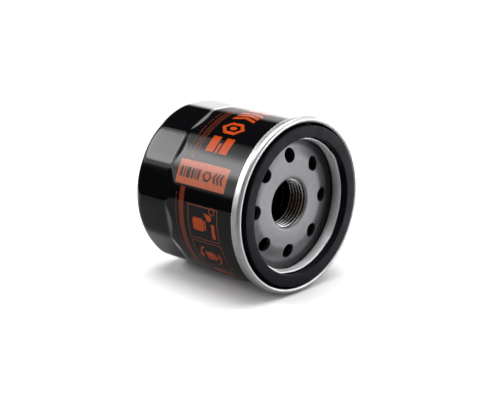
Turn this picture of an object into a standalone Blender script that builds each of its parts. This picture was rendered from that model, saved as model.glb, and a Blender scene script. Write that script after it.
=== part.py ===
"""Spin-on oil filter for a small engine, built as its separate pieces.

The filter lies on its side. Its axis runs along X, with the threaded open end at +X and the
wrench flats at -X. Lengths along the axis are given as a depth behind the sealing gasket's face,
and lengths across it as a radius from the axis.
"""

import math

import bmesh
import bpy
from mathutils import Matrix, Vector

MM = 0.001

# Driving dimensions
LENGTH = 60.0 * MM            # gasket face to closed end
SEAM_RADIUS = 34.3 * MM       # the widest part, which the filter lies on
CAN_RADIUS = 32.8 * MM
SHEET = 0.5 * MM              # drawn steel of the can, lid and end caps
GAP = 0.3 * MM                # clearance between pieces that touch
GASKET_INNER = 26.45 * MM
GASKET_OUTER = 30.95 * MM
GASKET_DEPTH = 6.6 * MM
FLANGE_DEPTH = 2.1 * MM       # the can's flange, which is rolled into the seam
FLANGE_RADIUS = 33.5 * MM
SEAM_FRONT = 1.0 * MM
SEAM_REAR = 4.7 * MM
LIP_FRONT = 2.6 * MM
LIP_REAR = 5.85 * MM
FOLD_INNER = 25.4 * MM        # cut edge of the lid's folded lip
FOLD_OUTER = 25.65 * MM
COMPOUND_FRONT = 2.8 * MM
COMPOUND_REAR = 3.9 * MM
PLATE_FACE = 6.4 * MM
PLATE_THICKNESS = 2.0 * MM
PLATE_STEP = 1.3 * MM         # how far the rim of the tapping plate sits behind its face
DISH_START = 16.6 * MM        # the slope from face to rim runs through the inlet holes
DISH_END = 23.4 * MM
THREAD_MAJOR = 10.0 * MM      # M20 x 1.5
THREAD_MINOR = 9.19 * MM
THREAD_PITCH = 1.5 * MM
HUB_REAR = 14.6 * MM
INLET_COUNT = 8
INLET_RADIUS = 2.84 * MM
INLET_PITCH_RADIUS = 18.8 * MM
INLET_TURN = math.radians(1.0)
FLAT_COUNT = 14
FLAT_FRONT = 41.0 * MM
FLAT_SHOULDER = 4.1 * MM
FLAT_TURN = math.radians(-11.8)
END_BEND = 7.0 * MM           # rounded edge of the can's closed end
ELEMENT_FRONT = 18.6 * MM
ELEMENT_REAR = 48.0 * MM
CAP_RADIUS = 28.6 * MM
CAP_RIM = 2.7 * MM
TUBE_RADIUS = 11.3 * MM
TUBE_WALL = 0.4 * MM
PLEAT_COUNT = 32
PLEAT_INNER = 12.3 * MM
PLEAT_OUTER = 26.9 * MM
MEDIA_THICKNESS = 0.5 * MM
SEAT_HOLE = 6.2 * MM          # bypass port in the bottom cap
BYPASS_RADIUS = 8.6 * MM
CAGE_RADIUS = 9.9 * MM
CAGE_FRONT = 34.4 * MM

# Mesh fineness
AROUND_CAN = 4 * FLAT_COUNT
AROUND_SEAM = 48
AROUND_PLATE = 5 * INLET_COUNT
AROUND_INNER = 32
AROUND_SMALL = 24
BEND_STEPS = 5

axis_parent = None


def clear_scene():
    for item in list(bpy.data.objects):
        bpy.data.objects.remove(item, do_unlink=True)


def material(name, colour, roughness, metallic=0.0):
    made = bpy.data.materials.new(name)
    made.use_nodes = True
    shader = made.node_tree.nodes["Principled BSDF"]
    shader.inputs["Base Color"].default_value = (*colour, 1.0)
    shader.inputs["Roughness"].default_value = roughness
    shader.inputs["Metallic"].default_value = metallic
    made.diffuse_color = (*colour, 1.0)
    return made


def make_axis():
    """Empty on the filter's axis at the gasket's face, which every piece hangs from."""
    empty = bpy.data.objects.new("filter_axis", None)
    empty.location = (LENGTH / 2, 0.0, SEAM_RADIUS)
    bpy.context.scene.collection.objects.link(empty)
    return empty


def at(depth, radius, turn):
    """Point behind the gasket's face; a turn of zero is straight up and +Y comes next."""
    return Vector((-depth, radius * math.sin(turn), radius * math.cos(turn)))


def add_piece(name, bm, look=None, origin_depth=0.0, smooth_angle=35.0):
    """Object on the axis whose origin sits at origin_depth."""
    bmesh.ops.translate(bm, verts=bm.verts, vec=(origin_depth, 0.0, 0.0))
    mesh = bpy.data.meshes.new(name)
    bm.to_mesh(mesh)
    bm.free()
    mesh.shade_smooth()
    mesh.set_sharp_from_angle(angle=math.radians(smooth_angle))
    piece = bpy.data.objects.new(name, mesh)
    bpy.context.scene.collection.objects.link(piece)
    piece.parent = axis_parent
    piece.location = (-origin_depth, 0.0, 0.0)
    if look is not None:
        mesh.materials.append(look)
    return piece


def cut(piece, cutter):
    """Take the cutter's shape out of the piece."""
    cutter.hide_render = True
    cutter.display_type = "WIRE"
    modifier = piece.modifiers.new(f"cut_{cutter.name}", "BOOLEAN")
    modifier.operation = "DIFFERENCE"
    modifier.solver = "EXACT"
    modifier.object = cutter


# Outlines in the plane of depth and radius

def rounded(points, bend, steps=3):
    """Line whose inner corners are eased with curves of about the given bend."""
    line = [Vector(points[0])]
    for before, corner, after in zip(points, points[1:], points[2:]):
        middle = Vector(corner)
        back = Vector(before) - middle
        ahead = Vector(after) - middle
        reach = bend / math.tan(back.angle(ahead) / 2)
        start = middle + back.normalized() * min(reach, 0.49 * back.length)
        end = middle + ahead.normalized() * min(reach, 0.49 * ahead.length)
        for step in range(steps + 1):
            share = step / steps
            line.append(start.lerp(middle, share).lerp(middle.lerp(end, share), share))
    line.append(Vector(points[-1]))
    return line


def both_sides(line, thickness):
    """The two lines half a thickness to either side of a line."""
    sides = ([], [])
    for index, point in enumerate(line):
        before = line[max(index - 1, 0)]
        after = line[min(index + 1, len(line) - 1)]
        arriving = (point - before).normalized() if index else (after - point).normalized()
        leaving = (after - point).normalized() if point != after else arriving
        along = (arriving + leaving).normalized()
        normal = Vector((-along.y, along.x))
        spread = thickness / 2 / max(along.dot(leaving), 0.5)
        sides[0].append(point + normal * spread)
        sides[1].append(point - normal * spread)
    return sides


def sheet(points, thickness, bend, steps=3):
    """Closed outline of bent sheet metal with its middle on the points."""
    left, right = both_sides(rounded(points, bend, steps), thickness)
    return left + right[::-1]


def block(front, rear, inner, outer):
    """Closed outline of a plain ring."""
    return [(front, inner), (front, outer), (rear, outer), (rear, inner)]


def turned(outline, segments, first_turn=0.0, radius_at=None):
    """Solid made by turning a closed outline about the axis."""
    bm = bmesh.new()
    step = 2 * math.pi / segments
    rings = []
    for depth, radius in outline:
        if radius < 1e-7:
            rings.append([bm.verts.new(at(depth, 0.0, 0.0))])
            continue
        ring = []
        for index in range(segments):
            turn = first_turn + step * index
            reach = radius_at(depth, radius, turn) if radius_at else radius
            ring.append(bm.verts.new(at(depth, reach, turn)))
        rings.append(ring)
    for here, there in zip(rings, rings[1:] + rings[:1]):
        if len(here) == 1 and len(there) == 1:
            continue
        for index in range(segments):
            after = (index + 1) % segments
            corners = [here[index % len(here)], here[after % len(here)]]
            corners += [there[after % len(there)], there[index % len(there)]]
            bm.faces.new(list(dict.fromkeys(corners)))
    bmesh.ops.recalc_face_normals(bm, faces=bm.faces)
    return bm


def swept_wire(path, outward, wire_radius, sides=6):
    """Closed round wire along a path; outward gives a direction across it at each point."""
    bm = bmesh.new()
    rings = []
    for index, point in enumerate(path):
        along = path[min(index + 1, len(path) - 1)] - path[max(index - 1, 0)]
        across = outward[index]
        other = along.cross(across).normalized()
        ring = []
        for side in range(sides):
            turn = 2 * math.pi * side / sides
            offset = across * math.cos(turn) + other * math.sin(turn)
            ring.append(bm.verts.new(point + offset * wire_radius))
        rings.append(ring)
    for here, there in zip(rings, rings[1:]):
        for side in range(sides):
            after = (side + 1) % sides
            bm.faces.new((here[side], here[after], there[after], there[side]))
    bm.faces.new(rings[0])
    bm.faces.new(rings[-1][::-1])
    bmesh.ops.recalc_face_normals(bm, faces=bm.faces)
    return bm


def coil(front, rear, radius, wire_radius, turns, steps_per_turn):
    """Compression spring whose end turns lie closer together than its middle ones."""
    closeness = 0.55
    count = round(turns * steps_per_turn)
    path = []
    outward = []
    for step in range(count + 1):
        share = step / count
        turn = 2 * math.pi * turns * share
        eased = share - closeness * math.sin(2 * math.pi * share) / (2 * math.pi)
        depth = front + wire_radius + (rear - front - 2 * wire_radius) * eased
        path.append(at(depth, radius, turn))
        outward.append(at(0.0, 1.0, turn))
    return swept_wire(path, outward, wire_radius)


# Shell

def wrench_flats(depth, radius, turn):
    """Radius of the can's wall where the wrench flats cut into it near its closed end."""
    side = 2 * math.pi / FLAT_COUNT
    within = (turn - FLAT_TURN) % side - side / 2
    flat = CAN_RADIUS * math.cos(side / 2) / math.cos(within)
    into_bend = min(max(depth - (LENGTH - END_BEND), 0.0), END_BEND)
    full = CAN_RADIUS - END_BEND + math.sqrt(END_BEND ** 2 - into_bend ** 2)
    onset = (depth - FLAT_FRONT + FLAT_SHOULDER) / FLAT_SHOULDER
    share = min(max(onset, 0.0), 1.0)
    share = share * share * (3 - 2 * share)
    return radius * (1 - share * max(1 - flat / full, 0.0))


def make_can():
    """Deep-drawn can: flange in the seam, plain wall, wrench flats and a rounded closed end."""
    wall = CAN_RADIUS - SHEET / 2
    end = LENGTH - SHEET / 2
    bend = END_BEND - SHEET / 2
    front = rounded([(FLANGE_DEPTH, FLANGE_RADIUS), (FLANGE_DEPTH, wall), (FLAT_FRONT / 2, wall)],
                    0.5 * MM, 2)
    line = front[:-1]
    for share in (0.0, 0.35, 0.65, 1.0):
        line.append(Vector((FLAT_FRONT - FLAT_SHOULDER * (1 - share), wall)))
    for step in range(BEND_STEPS + 1):
        turn = math.pi / 2 * step / BEND_STEPS
        depth = end - bend + bend * math.sin(turn)
        line.append(Vector((depth, wall - bend + bend * math.cos(turn))))
    line.append(Vector((end, wall * 0.55)))
    outer, inner = both_sides(line, SHEET)
    outer = [Vector(p) for p in outer] + [Vector((LENGTH, 0.0))]
    inner = [Vector(p) for p in inner] + [Vector((LENGTH - SHEET, 0.0))]
    outline = outer + inner[::-1]
    bm = turned(outline, AROUND_CAN, FLAT_TURN, wrench_flats)
    look = material("gloss_black_paint", (0.012, 0.012, 0.014), 0.12)
    return add_piece("can", bm, look)


def make_lid():
    """Thin steel lid: rolled over the can's flange, down into the gasket's channel, and up
    again into a folded lip inside the gasket."""
    thickness = 0.45 * MM
    half = thickness / 2
    channel_floor = GASKET_DEPTH + GAP + half
    chuck = GASKET_OUTER + 0.65 * MM + half
    points = [
        (SEAM_REAR - half, CAN_RADIUS + GAP + half),
        (SEAM_REAR - half, SEAM_RADIUS - half),
        (SEAM_FRONT + half, SEAM_RADIUS - half),
        (SEAM_FRONT + half, chuck),
        (channel_floor, chuck),
        (channel_floor, GASKET_INNER - GAP - half),
        (LIP_FRONT + 0.2 * MM, GASKET_INNER - GAP - half),
    ]
    line = rounded(points, 0.6 * MM, 1)
    outer, inner = both_sides(line, thickness)
    fold = [
        Vector((LIP_FRONT, GASKET_INNER - GAP - half)),
        Vector((LIP_FRONT, GASKET_INNER - GAP - thickness)),
        Vector((LIP_FRONT + 0.25 * MM, GASKET_INNER - GAP - 1.7 * thickness)),
        Vector((LIP_REAR, FOLD_INNER)),
        Vector((LIP_REAR, FOLD_OUTER)),
    ]
    away = outer if outer[-1].y > inner[-1].y else inner
    towards = inner if away is outer else outer
    outline = away + fold + towards[::-1]
    look = material("zinc_plate", (0.62, 0.64, 0.65), 0.28, 1.0)
    return add_piece("seaming_lid", turned(outline, AROUND_SEAM), look)


def make_seam_compound():
    """Ring of sealing compound set between the can's flange and the lid's rolled edge."""
    inner = CAN_RADIUS + GAP
    outline = block(COMPOUND_FRONT, COMPOUND_REAR, inner, SEAM_RADIUS - 0.8 * MM)
    look = material("seam_compound_rubber", (0.12, 0.12, 0.13), 0.6)
    return add_piece("seam_compound", turned(outline, AROUND_SEAM), look)


def make_gasket():
    """Square-section rubber ring with slightly eased edges."""
    ease = 0.4 * MM
    outline = [
        (0.0, GASKET_INNER + ease), (0.0, GASKET_OUTER - ease),
        (ease, GASKET_OUTER), (GASKET_DEPTH - ease, GASKET_OUTER),
        (GASKET_DEPTH, GASKET_OUTER - ease), (GASKET_DEPTH, GASKET_INNER + ease),
        (GASKET_DEPTH - ease, GASKET_INNER), (ease, GASKET_INNER),
    ]
    look = material("gasket_rubber", (0.025, 0.025, 0.03), 0.55)
    return add_piece("sealing_gasket", turned(outline, AROUND_SEAM), look)


def thread_tap():
    """Solid screw that leaves the internal thread behind where it is taken away."""
    segments = 24
    rows = (
        (0.0, THREAD_MINOR - 0.2 * MM), (0.15, THREAD_MINOR - 0.2 * MM),
        (0.45, THREAD_MAJOR), (0.7, THREAD_MAJOR),
    )
    start = PLATE_FACE - 2 * THREAD_PITCH
    pitches = math.ceil((HUB_REAR - start) / THREAD_PITCH) + 1
    bm = bmesh.new()
    columns = []
    for index in range(segments):
        turn = 2 * math.pi * index / segments
        column = []
        for pitch in range(pitches):
            for share, radius in rows:
                depth = start + (pitch + share + index / segments) * THREAD_PITCH
                column.append(bm.verts.new(at(depth, radius, turn)))
        columns.append(column)
    first = columns[0]
    extra = [bm.verts.new(v.co + Vector((-THREAD_PITCH, 0, 0))) for v in first[-len(rows):]]
    first = first + extra
    columns[0] = first[:len(columns[1])]
    columns.append(first[len(rows):])
    for here, there in zip(columns, columns[1:]):
        for row in range(len(columns[1]) - 1):
            bm.faces.new((here[row], there[row], there[row + 1], here[row + 1]))
    for edge_row, depth in ((0, start - THREAD_PITCH), (-1, HUB_REAR + 3 * THREAD_PITCH)):
        middle = bm.verts.new(at(depth, 0.0, 0.0))
        loop = [column[edge_row] for column in columns]
        step = first[:len(rows) + 1] if edge_row == 0 else first[-len(rows) - 1:]
        loop += step[::-1][1:-1]
        for here, there in zip(loop, loop[1:] + loop[:1]):
            bm.faces.new((here, there, middle))
    bmesh.ops.recalc_face_normals(bm, faces=bm.faces)
    return add_piece("thread_tap", bm)


def add_drill(bm, centre, along, radius, length, segments):
    """Closed round bar with its middle at the centre."""
    place = Matrix.Translation(centre) @ along.to_track_quat("Z", "Y").to_matrix().to_4x4()
    bmesh.ops.create_cone(bm, cap_ends=True, segments=segments, radius1=radius, radius2=radius,
                          depth=length, matrix=place)


def inlet_drills():
    """Round cutters for the ring of inlet holes."""
    bm = bmesh.new()
    for index in range(INLET_COUNT):
        turn = INLET_TURN + 2 * math.pi * index / INLET_COUNT
        centre = at(PLATE_FACE + PLATE_THICKNESS / 2, INLET_PITCH_RADIUS, turn)
        add_drill(bm, centre, Vector((1, 0, 0)), INLET_RADIUS, 3 * PLATE_THICKNESS, 16)
    return add_piece("inlet_drills", bm)


def make_plate():
    """Dished steel plate with an extruded, threaded hub and a ring of inlet holes."""
    rim_face = PLATE_FACE + PLATE_STEP
    rim_radius = GASKET_OUTER
    lead_in = 1.6 * MM
    hub_top = 12.1 * MM
    hub_end = 11.2 * MM
    outline = []
    for step in range(4):
        turn = math.pi / 2 * step / 3
        depth = PLATE_FACE + lead_in * (1 - math.sin(turn))
        outline.append((depth, THREAD_MINOR + lead_in * (1 - math.cos(turn))))
    steps = 4
    for step in range(steps + 1):
        share = step / steps
        eased = share * share * (3 - 2 * share)
        outline.append((PLATE_FACE + PLATE_STEP * eased, DISH_START + (DISH_END - DISH_START) * share))
    outline.append((rim_face, rim_radius))
    outline.append((rim_face + PLATE_THICKNESS, rim_radius))
    for step in range(steps + 1):
        share = 1 - step / steps
        eased = share * share * (3 - 2 * share)
        depth = PLATE_FACE + PLATE_THICKNESS + PLATE_STEP * eased
        outline.append((depth, DISH_START + (DISH_END - DISH_START) * share))
    outline.append((PLATE_FACE + PLATE_THICKNESS, hub_top + 0.7 * MM))
    outline.append((PLATE_FACE + PLATE_THICKNESS + 0.8 * MM, hub_top))
    outline.append((HUB_REAR, hub_end))
    outline.append((HUB_REAR, THREAD_MINOR))
    look = material("phosphated_steel", (0.34, 0.35, 0.36), 0.45, 0.8)
    plate = add_piece("tapping_plate", turned(outline, AROUND_PLATE), look)
    cut(plate, inlet_drills())
    cut(plate, thread_tap())
    return plate


# Valve behind the inlet holes

def make_drainback_valve():
    """Rubber valve: a collar behind the hub and a bell-shaped skirt that closes the inlets."""
    rim_back = PLATE_FACE + PLATE_STEP + PLATE_THICKNESS
    collar_front = HUB_REAR + GAP
    skirt = [
        Vector((collar_front + 1.6 * MM, 13.0 * MM)),
        Vector((collar_front + 0.2 * MM, 16.0 * MM)),
        Vector((rim_back + 2.6 * MM, 19.8 * MM)),
        Vector((rim_back + 1.2 * MM, 23.0 * MM)),
        Vector((rim_back + GAP + 0.45 * MM, 26.2 * MM)),
    ]
    outer, inner = both_sides(skirt, 0.9 * MM)
    front = outer if outer[0].x < inner[0].x else inner
    back = inner if front is outer else outer
    collar = [
        Vector((collar_front + 2.3 * MM, 13.2 * MM)),
        Vector((collar_front + 2.3 * MM, 9.9 * MM)),
        Vector((collar_front, 9.9 * MM)),
        Vector((collar_front, 12.4 * MM)),
    ]
    outline = front + back[::-1] + collar
    look = material("nitrile_rubber", (0.02, 0.02, 0.02), 0.3)
    bm = turned(outline, AROUND_INNER)
    return add_piece("anti_drainback_valve", bm, look, collar_front)


# Filter element

def make_end_cap(name, face, rim_end, hole, neck_end=None):
    """Pressed end cap: a flat disc with a rim around the element and, where stated, a neck."""
    half = SHEET / 2
    inward = 1 if rim_end > face else -1
    points = [(rim_end, CAP_RADIUS - half), (face + inward * half, CAP_RADIUS - half)]
    points.append((face + inward * half, hole + (half if neck_end else 0.0)))
    if neck_end:
        points.append((neck_end, hole + half))
    look = material(f"tinplate_{name}", (0.66, 0.67, 0.66), 0.3, 1.0)
    bm = turned(sheet(points, SHEET, 0.6 * MM, 1), AROUND_INNER)
    return add_piece(name, bm, look, face)


def tube_drills(front, rear):
    """Radial cutters for the tube's staggered rows of holes."""
    rows = 3
    across = 4
    bm = bmesh.new()
    for row in range(rows):
        depth = front + (rear - front) * (row + 0.5) / rows
        for index in range(across):
            turn = math.pi * (index + 0.5 * (row % 2)) / across
            centre = at(depth, 0.0, 0.0)
            add_drill(bm, centre, at(0.0, 1.0, turn), 1.9 * MM, 4 * TUBE_RADIUS, 8)
    return add_piece("tube_drills", bm)


def make_centre_tube():
    """Perforated steel tube that holds the pleats open."""
    front = ELEMENT_FRONT + SHEET + GAP
    rear = ELEMENT_REAR - SHEET - GAP
    outline = block(front, rear, TUBE_RADIUS - TUBE_WALL, TUBE_RADIUS)
    look = material("tube_steel", (0.55, 0.56, 0.57), 0.35, 1.0)
    tube = add_piece("centre_tube", turned(outline, AROUND_INNER), look, front)
    cut(tube, tube_drills(front + 1.0 * MM, rear - 1.0 * MM))
    return tube


def media_span():
    """Depths of the pleated paper's two ends."""
    clearance = SHEET + GAP + 1.0 * MM + GAP
    return ELEMENT_FRONT + clearance, ELEMENT_REAR - clearance


def make_media():
    """Pleated paper: one folded strip whose two end flaps meet at the top."""
    front, rear = media_span()
    step = 2 * math.pi / PLEAT_COUNT
    flap = math.asin(0.55 * MM / PLEAT_OUTER)
    folds = [(flap, PLEAT_OUTER)]
    for index in range(PLEAT_COUNT):
        folds.append((step * (index + 0.5), PLEAT_INNER))
        folds.append((step * (index + 1), PLEAT_OUTER))
    folds[-1] = (2 * math.pi - flap, PLEAT_OUTER)
    points = [(r * math.sin(turn), r * math.cos(turn)) for turn, r in folds]
    left, right = both_sides(rounded(points, 0.5 * MM, 2), MEDIA_THICKNESS)
    bm = bmesh.new()
    ends = []
    for depth in (front, rear):
        ends.append([[bm.verts.new((-depth, p.x, p.y)) for p in side] for side in (left, right)])
    loops = [end[0] + end[1][::-1] for end in ends]
    for index in range(len(loops[0])):
        before = loops[0][index - 1]
        bm.faces.new((before, loops[0][index], loops[1][index], loops[1][index - 1]))
    for one, other in ends:
        for index in range(len(one) - 1):
            bm.faces.new((one[index], one[index + 1], other[index + 1], other[index]))
    bmesh.ops.recalc_face_normals(bm, faces=bm.faces)
    look = material("filter_paper", (0.78, 0.62, 0.3), 0.85)
    return add_piece("pleated_media", bm, look, front, 60.0)


def make_seam_clip():
    """Folded metal strip that clamps the paper's two end flaps together."""
    front, rear = media_span()
    inner_half = 1.15 * MM
    outer_half = inner_half + 0.35 * MM
    base = PLEAT_OUTER + 0.3 * MM
    top = base + 0.35 * MM
    foot = PLEAT_OUTER - 2.4 * MM
    profile = [(-outer_half, foot), (-outer_half, top), (outer_half, top), (outer_half, foot),
               (inner_half, foot), (inner_half, base), (-inner_half, base), (-inner_half, foot)]
    bm = bmesh.new()
    one = [bm.verts.new((-front - GAP, y, z)) for y, z in profile]
    other = [bm.verts.new((-rear + GAP, y, z)) for y, z in profile]
    for index in range(len(profile)):
        bm.faces.new((one[index - 1], one[index], other[index], other[index - 1]))
    bm.faces.new(one)
    bm.faces.new(other[::-1])
    bmesh.ops.recalc_face_normals(bm, faces=bm.faces)
    look = material("clip_steel", (0.6, 0.61, 0.62), 0.3, 1.0)
    return add_piece("media_seam_clip", bm, look, front)


def make_adhesive(name, front, rear):
    """Ring of set plastisol that bonds the paper to an end cap."""
    look = material(f"{name}_plastisol", (0.75, 0.74, 0.68), 0.6)
    outline = block(front, rear, TUBE_RADIUS + GAP, CAP_RADIUS - SHEET - GAP)
    return add_piece(name, turned(outline, AROUND_INNER), look, front)


def make_spring_seat():
    """Stamped ring that centres the element spring on the bottom cap."""
    half = SHEET / 2
    front = ELEMENT_REAR + GAP + half
    points = [(front + 1.4 * MM, 10.6 * MM), (front, 11.0 * MM), (front, 16.2 * MM),
              (front + 1.4 * MM, 16.6 * MM)]
    look = material("spring_seat_steel", (0.5, 0.51, 0.52), 0.4, 1.0)
    bm = turned(sheet(points, SHEET, 0.4 * MM, 1), AROUND_INNER)
    return add_piece("spring_seat", bm, look, front)


def make_element_spring():
    """Coil between the can's closed end and the spring seat, which holds the element up."""
    front = ELEMENT_REAR + GAP + SHEET + GAP
    rear = LENGTH - SHEET - GAP
    wire = 0.85 * MM
    look = material("element_spring_steel", (0.45, 0.46, 0.47), 0.3, 1.0)
    bm = coil(front, rear, 13.4 * MM, wire, 3.0, 20)
    return add_piece("element_spring", bm, look, rear)


# Bypass valve in the bottom cap

def window_bars(front, rear):
    """Two crossing bars that open four windows in the cage's wall."""
    width = 8.0 * MM
    bm = bmesh.new()
    for turn in (0.0, math.pi / 2):
        place = Matrix.Translation(at((front + rear) / 2, 0.0, 0.0))
        place = place @ Matrix.Rotation(turn, 4, "X")
        place = place @ Matrix.Diagonal((rear - front, width, 3 * CAGE_RADIUS, 1.0))
        bmesh.ops.create_cube(bm, size=1.0, matrix=place)
    return add_piece("cage_windows", bm)


def make_cage():
    """Stamped cage that guides the bypass valve's stem and backs its spring."""
    half = SHEET / 2
    foot = ELEMENT_REAR - SHEET - GAP - half
    stem_hole = 1.9 * MM
    points = [(foot, TUBE_RADIUS - TUBE_WALL - GAP), (foot, CAGE_RADIUS - half),
              (CAGE_FRONT + half, CAGE_RADIUS - half), (CAGE_FRONT + half, stem_hole)]
    look = material("cage_steel", (0.58, 0.59, 0.6), 0.35, 1.0)
    bm = turned(sheet(points, SHEET, 0.7 * MM, 1), AROUND_INNER)
    cage = add_piece("bypass_valve_cage", bm, look, foot)
    cut(cage, window_bars(CAGE_FRONT + 2.4 * MM, foot - 3.4 * MM))
    return cage


def bypass_levels():
    """Depths of the seal's rear, the seal's front and the disc's front."""
    seal_rear = ELEMENT_REAR - SHEET - GAP
    seal_front = seal_rear - 1.0 * MM
    disc_front = seal_front - GAP - 0.8 * MM
    return seal_rear, seal_front, disc_front


def make_bypass_seal():
    seal_rear, seal_front, _ = bypass_levels()
    look = material("bypass_seal_rubber", (0.03, 0.03, 0.03), 0.5)
    outline = block(seal_front, seal_rear, SEAT_HOLE - 1.2 * MM, BYPASS_RADIUS - 0.2 * MM)
    return add_piece("bypass_valve_seal", turned(outline, AROUND_SMALL), look, seal_rear)


def make_bypass_disc():
    """Pressed disc with a shallow spring register around the stem."""
    _, seal_front, disc_front = bypass_levels()
    disc_rear = seal_front - GAP
    hole = 1.8 * MM
    outline = [(disc_front, 3.6 * MM), (disc_front, BYPASS_RADIUS), (disc_rear, BYPASS_RADIUS),
               (disc_rear, hole), (disc_front - 1.0 * MM, hole), (disc_front - 1.0 * MM, 3.0 * MM)]
    look = material("bypass_disc_steel", (0.6, 0.61, 0.62), 0.28, 1.0)
    return add_piece("bypass_valve_disc", turned(outline, AROUND_SMALL), look, disc_rear)


def make_bypass_stem():
    """Rivet through the disc whose shank slides in the cage's hole."""
    _, seal_front, _ = bypass_levels()
    shank = 1.45 * MM
    tip = CAGE_FRONT - 2.2 * MM
    outline = [(tip, 0.0), (tip, shank - 0.4 * MM), (tip + 0.4 * MM, shank), (seal_front, shank),
               (seal_front, 2.9 * MM), (seal_front + 0.7 * MM, 2.6 * MM),
               (seal_front + 0.7 * MM, 0.0)]
    look = material("bypass_stem_steel", (0.6, 0.61, 0.62), 0.25, 1.0)
    return add_piece("bypass_valve_stem", turned(outline, AROUND_SMALL), look, seal_front)


def make_bypass_spring():
    _, _, disc_front = bypass_levels()
    look = material("bypass_spring_steel", (0.45, 0.46, 0.47), 0.25, 1.0)
    front = CAGE_FRONT + SHEET + GAP
    bm = coil(front, disc_front - GAP, 5.2 * MM, 0.45 * MM, 4.5, 14)
    return add_piece("bypass_spring", bm, look, front)


clear_scene()
axis_parent = make_axis()
make_can()
make_lid()
make_seam_compound()
make_gasket()
make_plate()
make_drainback_valve()
make_end_cap("element_top_cap", ELEMENT_FRONT, ELEMENT_FRONT + CAP_RIM, 10.0 * MM,
             ELEMENT_FRONT + 3.0 * MM)
make_end_cap("element_bottom_cap", ELEMENT_REAR, ELEMENT_REAR - CAP_RIM, SEAT_HOLE)
make_centre_tube()
make_media()
make_seam_clip()
make_adhesive("top_adhesive", ELEMENT_FRONT + SHEET + GAP, media_span()[0] - GAP)
make_adhesive("bottom_adhesive", media_span()[1] + GAP, ELEMENT_REAR - SHEET - GAP)
make_spring_seat()
make_element_spring()
make_cage()
make_bypass_seal()
make_bypass_disc()
make_bypass_stem()
make_bypass_spring()
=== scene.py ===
"""Looks of the spin-on oil filter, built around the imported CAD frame.

Lengths along the filter's axis are depths behind the sealing gasket's face, lengths across it are
radii, and a turn of zero is straight up with +Y next.
"""

import math
import random

import bmesh
import bpy
from mathutils import Matrix, Vector


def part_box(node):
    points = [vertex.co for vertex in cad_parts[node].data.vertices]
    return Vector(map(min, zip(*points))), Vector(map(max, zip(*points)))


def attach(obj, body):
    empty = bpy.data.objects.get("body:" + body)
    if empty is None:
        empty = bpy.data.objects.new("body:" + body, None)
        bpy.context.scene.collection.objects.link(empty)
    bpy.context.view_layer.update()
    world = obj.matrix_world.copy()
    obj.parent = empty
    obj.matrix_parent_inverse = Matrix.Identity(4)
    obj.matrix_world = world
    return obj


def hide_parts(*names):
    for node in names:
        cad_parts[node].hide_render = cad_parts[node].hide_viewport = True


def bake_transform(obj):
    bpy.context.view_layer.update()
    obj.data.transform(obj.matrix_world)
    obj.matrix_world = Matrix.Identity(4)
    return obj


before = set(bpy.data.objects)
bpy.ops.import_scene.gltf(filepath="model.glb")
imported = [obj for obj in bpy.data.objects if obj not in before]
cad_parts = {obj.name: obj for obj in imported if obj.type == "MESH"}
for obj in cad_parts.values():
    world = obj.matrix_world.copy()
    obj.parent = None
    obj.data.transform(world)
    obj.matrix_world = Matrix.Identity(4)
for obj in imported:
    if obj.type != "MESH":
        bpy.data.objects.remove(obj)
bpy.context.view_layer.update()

MM = 0.001

# Main sizes, taken from the frame
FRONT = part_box("sealing_gasket")[1].x
SEAM_LOW, SEAM_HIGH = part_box("seaming_lid")
AXIS_Z = (SEAM_LOW.z + SEAM_HIGH.z) / 2
SEAM_RADIUS = (SEAM_HIGH.z - SEAM_LOW.z) / 2
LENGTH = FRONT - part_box("can")[0].x

# Detail sizes of the real pieces
CAN_RADIUS = 32.8 * MM
SHEET = 0.5 * MM
GAP = 0.3 * MM
GASKET_INNER = 26.45 * MM
GASKET_OUTER = 30.95 * MM
GASKET_DEPTH = 6.6 * MM
PLATE_FACE = 6.4 * MM
PLATE_THICKNESS = 2.0 * MM
PLATE_STEP = 1.3 * MM
DISH_START = 16.6 * MM
DISH_END = 23.4 * MM
HUB_REAR = 14.6 * MM
THREAD_MAJOR = 10.0 * MM
THREAD_MINOR = 9.19 * MM
THREAD_PITCH = 1.5 * MM
INLET_COUNT = 8
INLET_RADIUS = 2.84 * MM
INLET_PITCH_RADIUS = 18.8 * MM
INLET_TURN = math.radians(1.0)
FLAT_COUNT = 14
FLAT_TURN = math.radians(-11.8)
END_BEND = 7.0 * MM
FLAT_APOTHEM = CAN_RADIUS * math.cos(math.pi / FLAT_COUNT)
SHOULDER_START = 36.6 * MM
SHOULDER_END = 41.4 * MM
ELEMENT_FRONT = 18.6 * MM
ELEMENT_REAR = 48.0 * MM
TUBE_RADIUS = 11.3 * MM
CAP_RADIUS = 28.6 * MM
FOLD_OUTER = 26.9 * MM
ADHESIVE = 1.0 * MM
CAGE_FRONT = 34.4 * MM


# Shapes

def at(depth, radius, turn):
    return Vector((FRONT - depth, radius * math.sin(turn), AXIS_Z + radius * math.cos(turn)))


def ease(share):
    share = min(max(share, 0.0), 1.0)
    return share * share * (3 - 2 * share)


def new_object(name, bm):
    """Object in the scene from a bmesh, with its faces turned outwards."""
    bmesh.ops.recalc_face_normals(bm, faces=bm.faces)
    mesh = bpy.data.meshes.new(name)
    bm.to_mesh(mesh)
    bm.free()
    made = bpy.data.objects.new(name, mesh)
    bpy.context.scene.collection.objects.link(made)
    return made


def smooth(mesh, angle):
    """Smooth shading, with sharp edges where faces turn by more than the angle in degrees."""
    mesh.shade_smooth()
    mesh.set_sharp_from_angle(angle=math.radians(angle))


def add_piece(name, bm, body, look, smooth_angle=32.0):
    """Piece that stands for the node of its name. It rides on the body named; when the body is
    given as (near body, far body, start, end), it is only baked in place."""
    piece = new_object(f"{name}_look", bm)
    smooth(piece.data, smooth_angle)
    piece.data.materials.append(look.material)
    if isinstance(body, str):
        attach(piece, body)
    else:
        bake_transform(piece)
    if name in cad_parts:
        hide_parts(name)
    return piece


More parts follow.
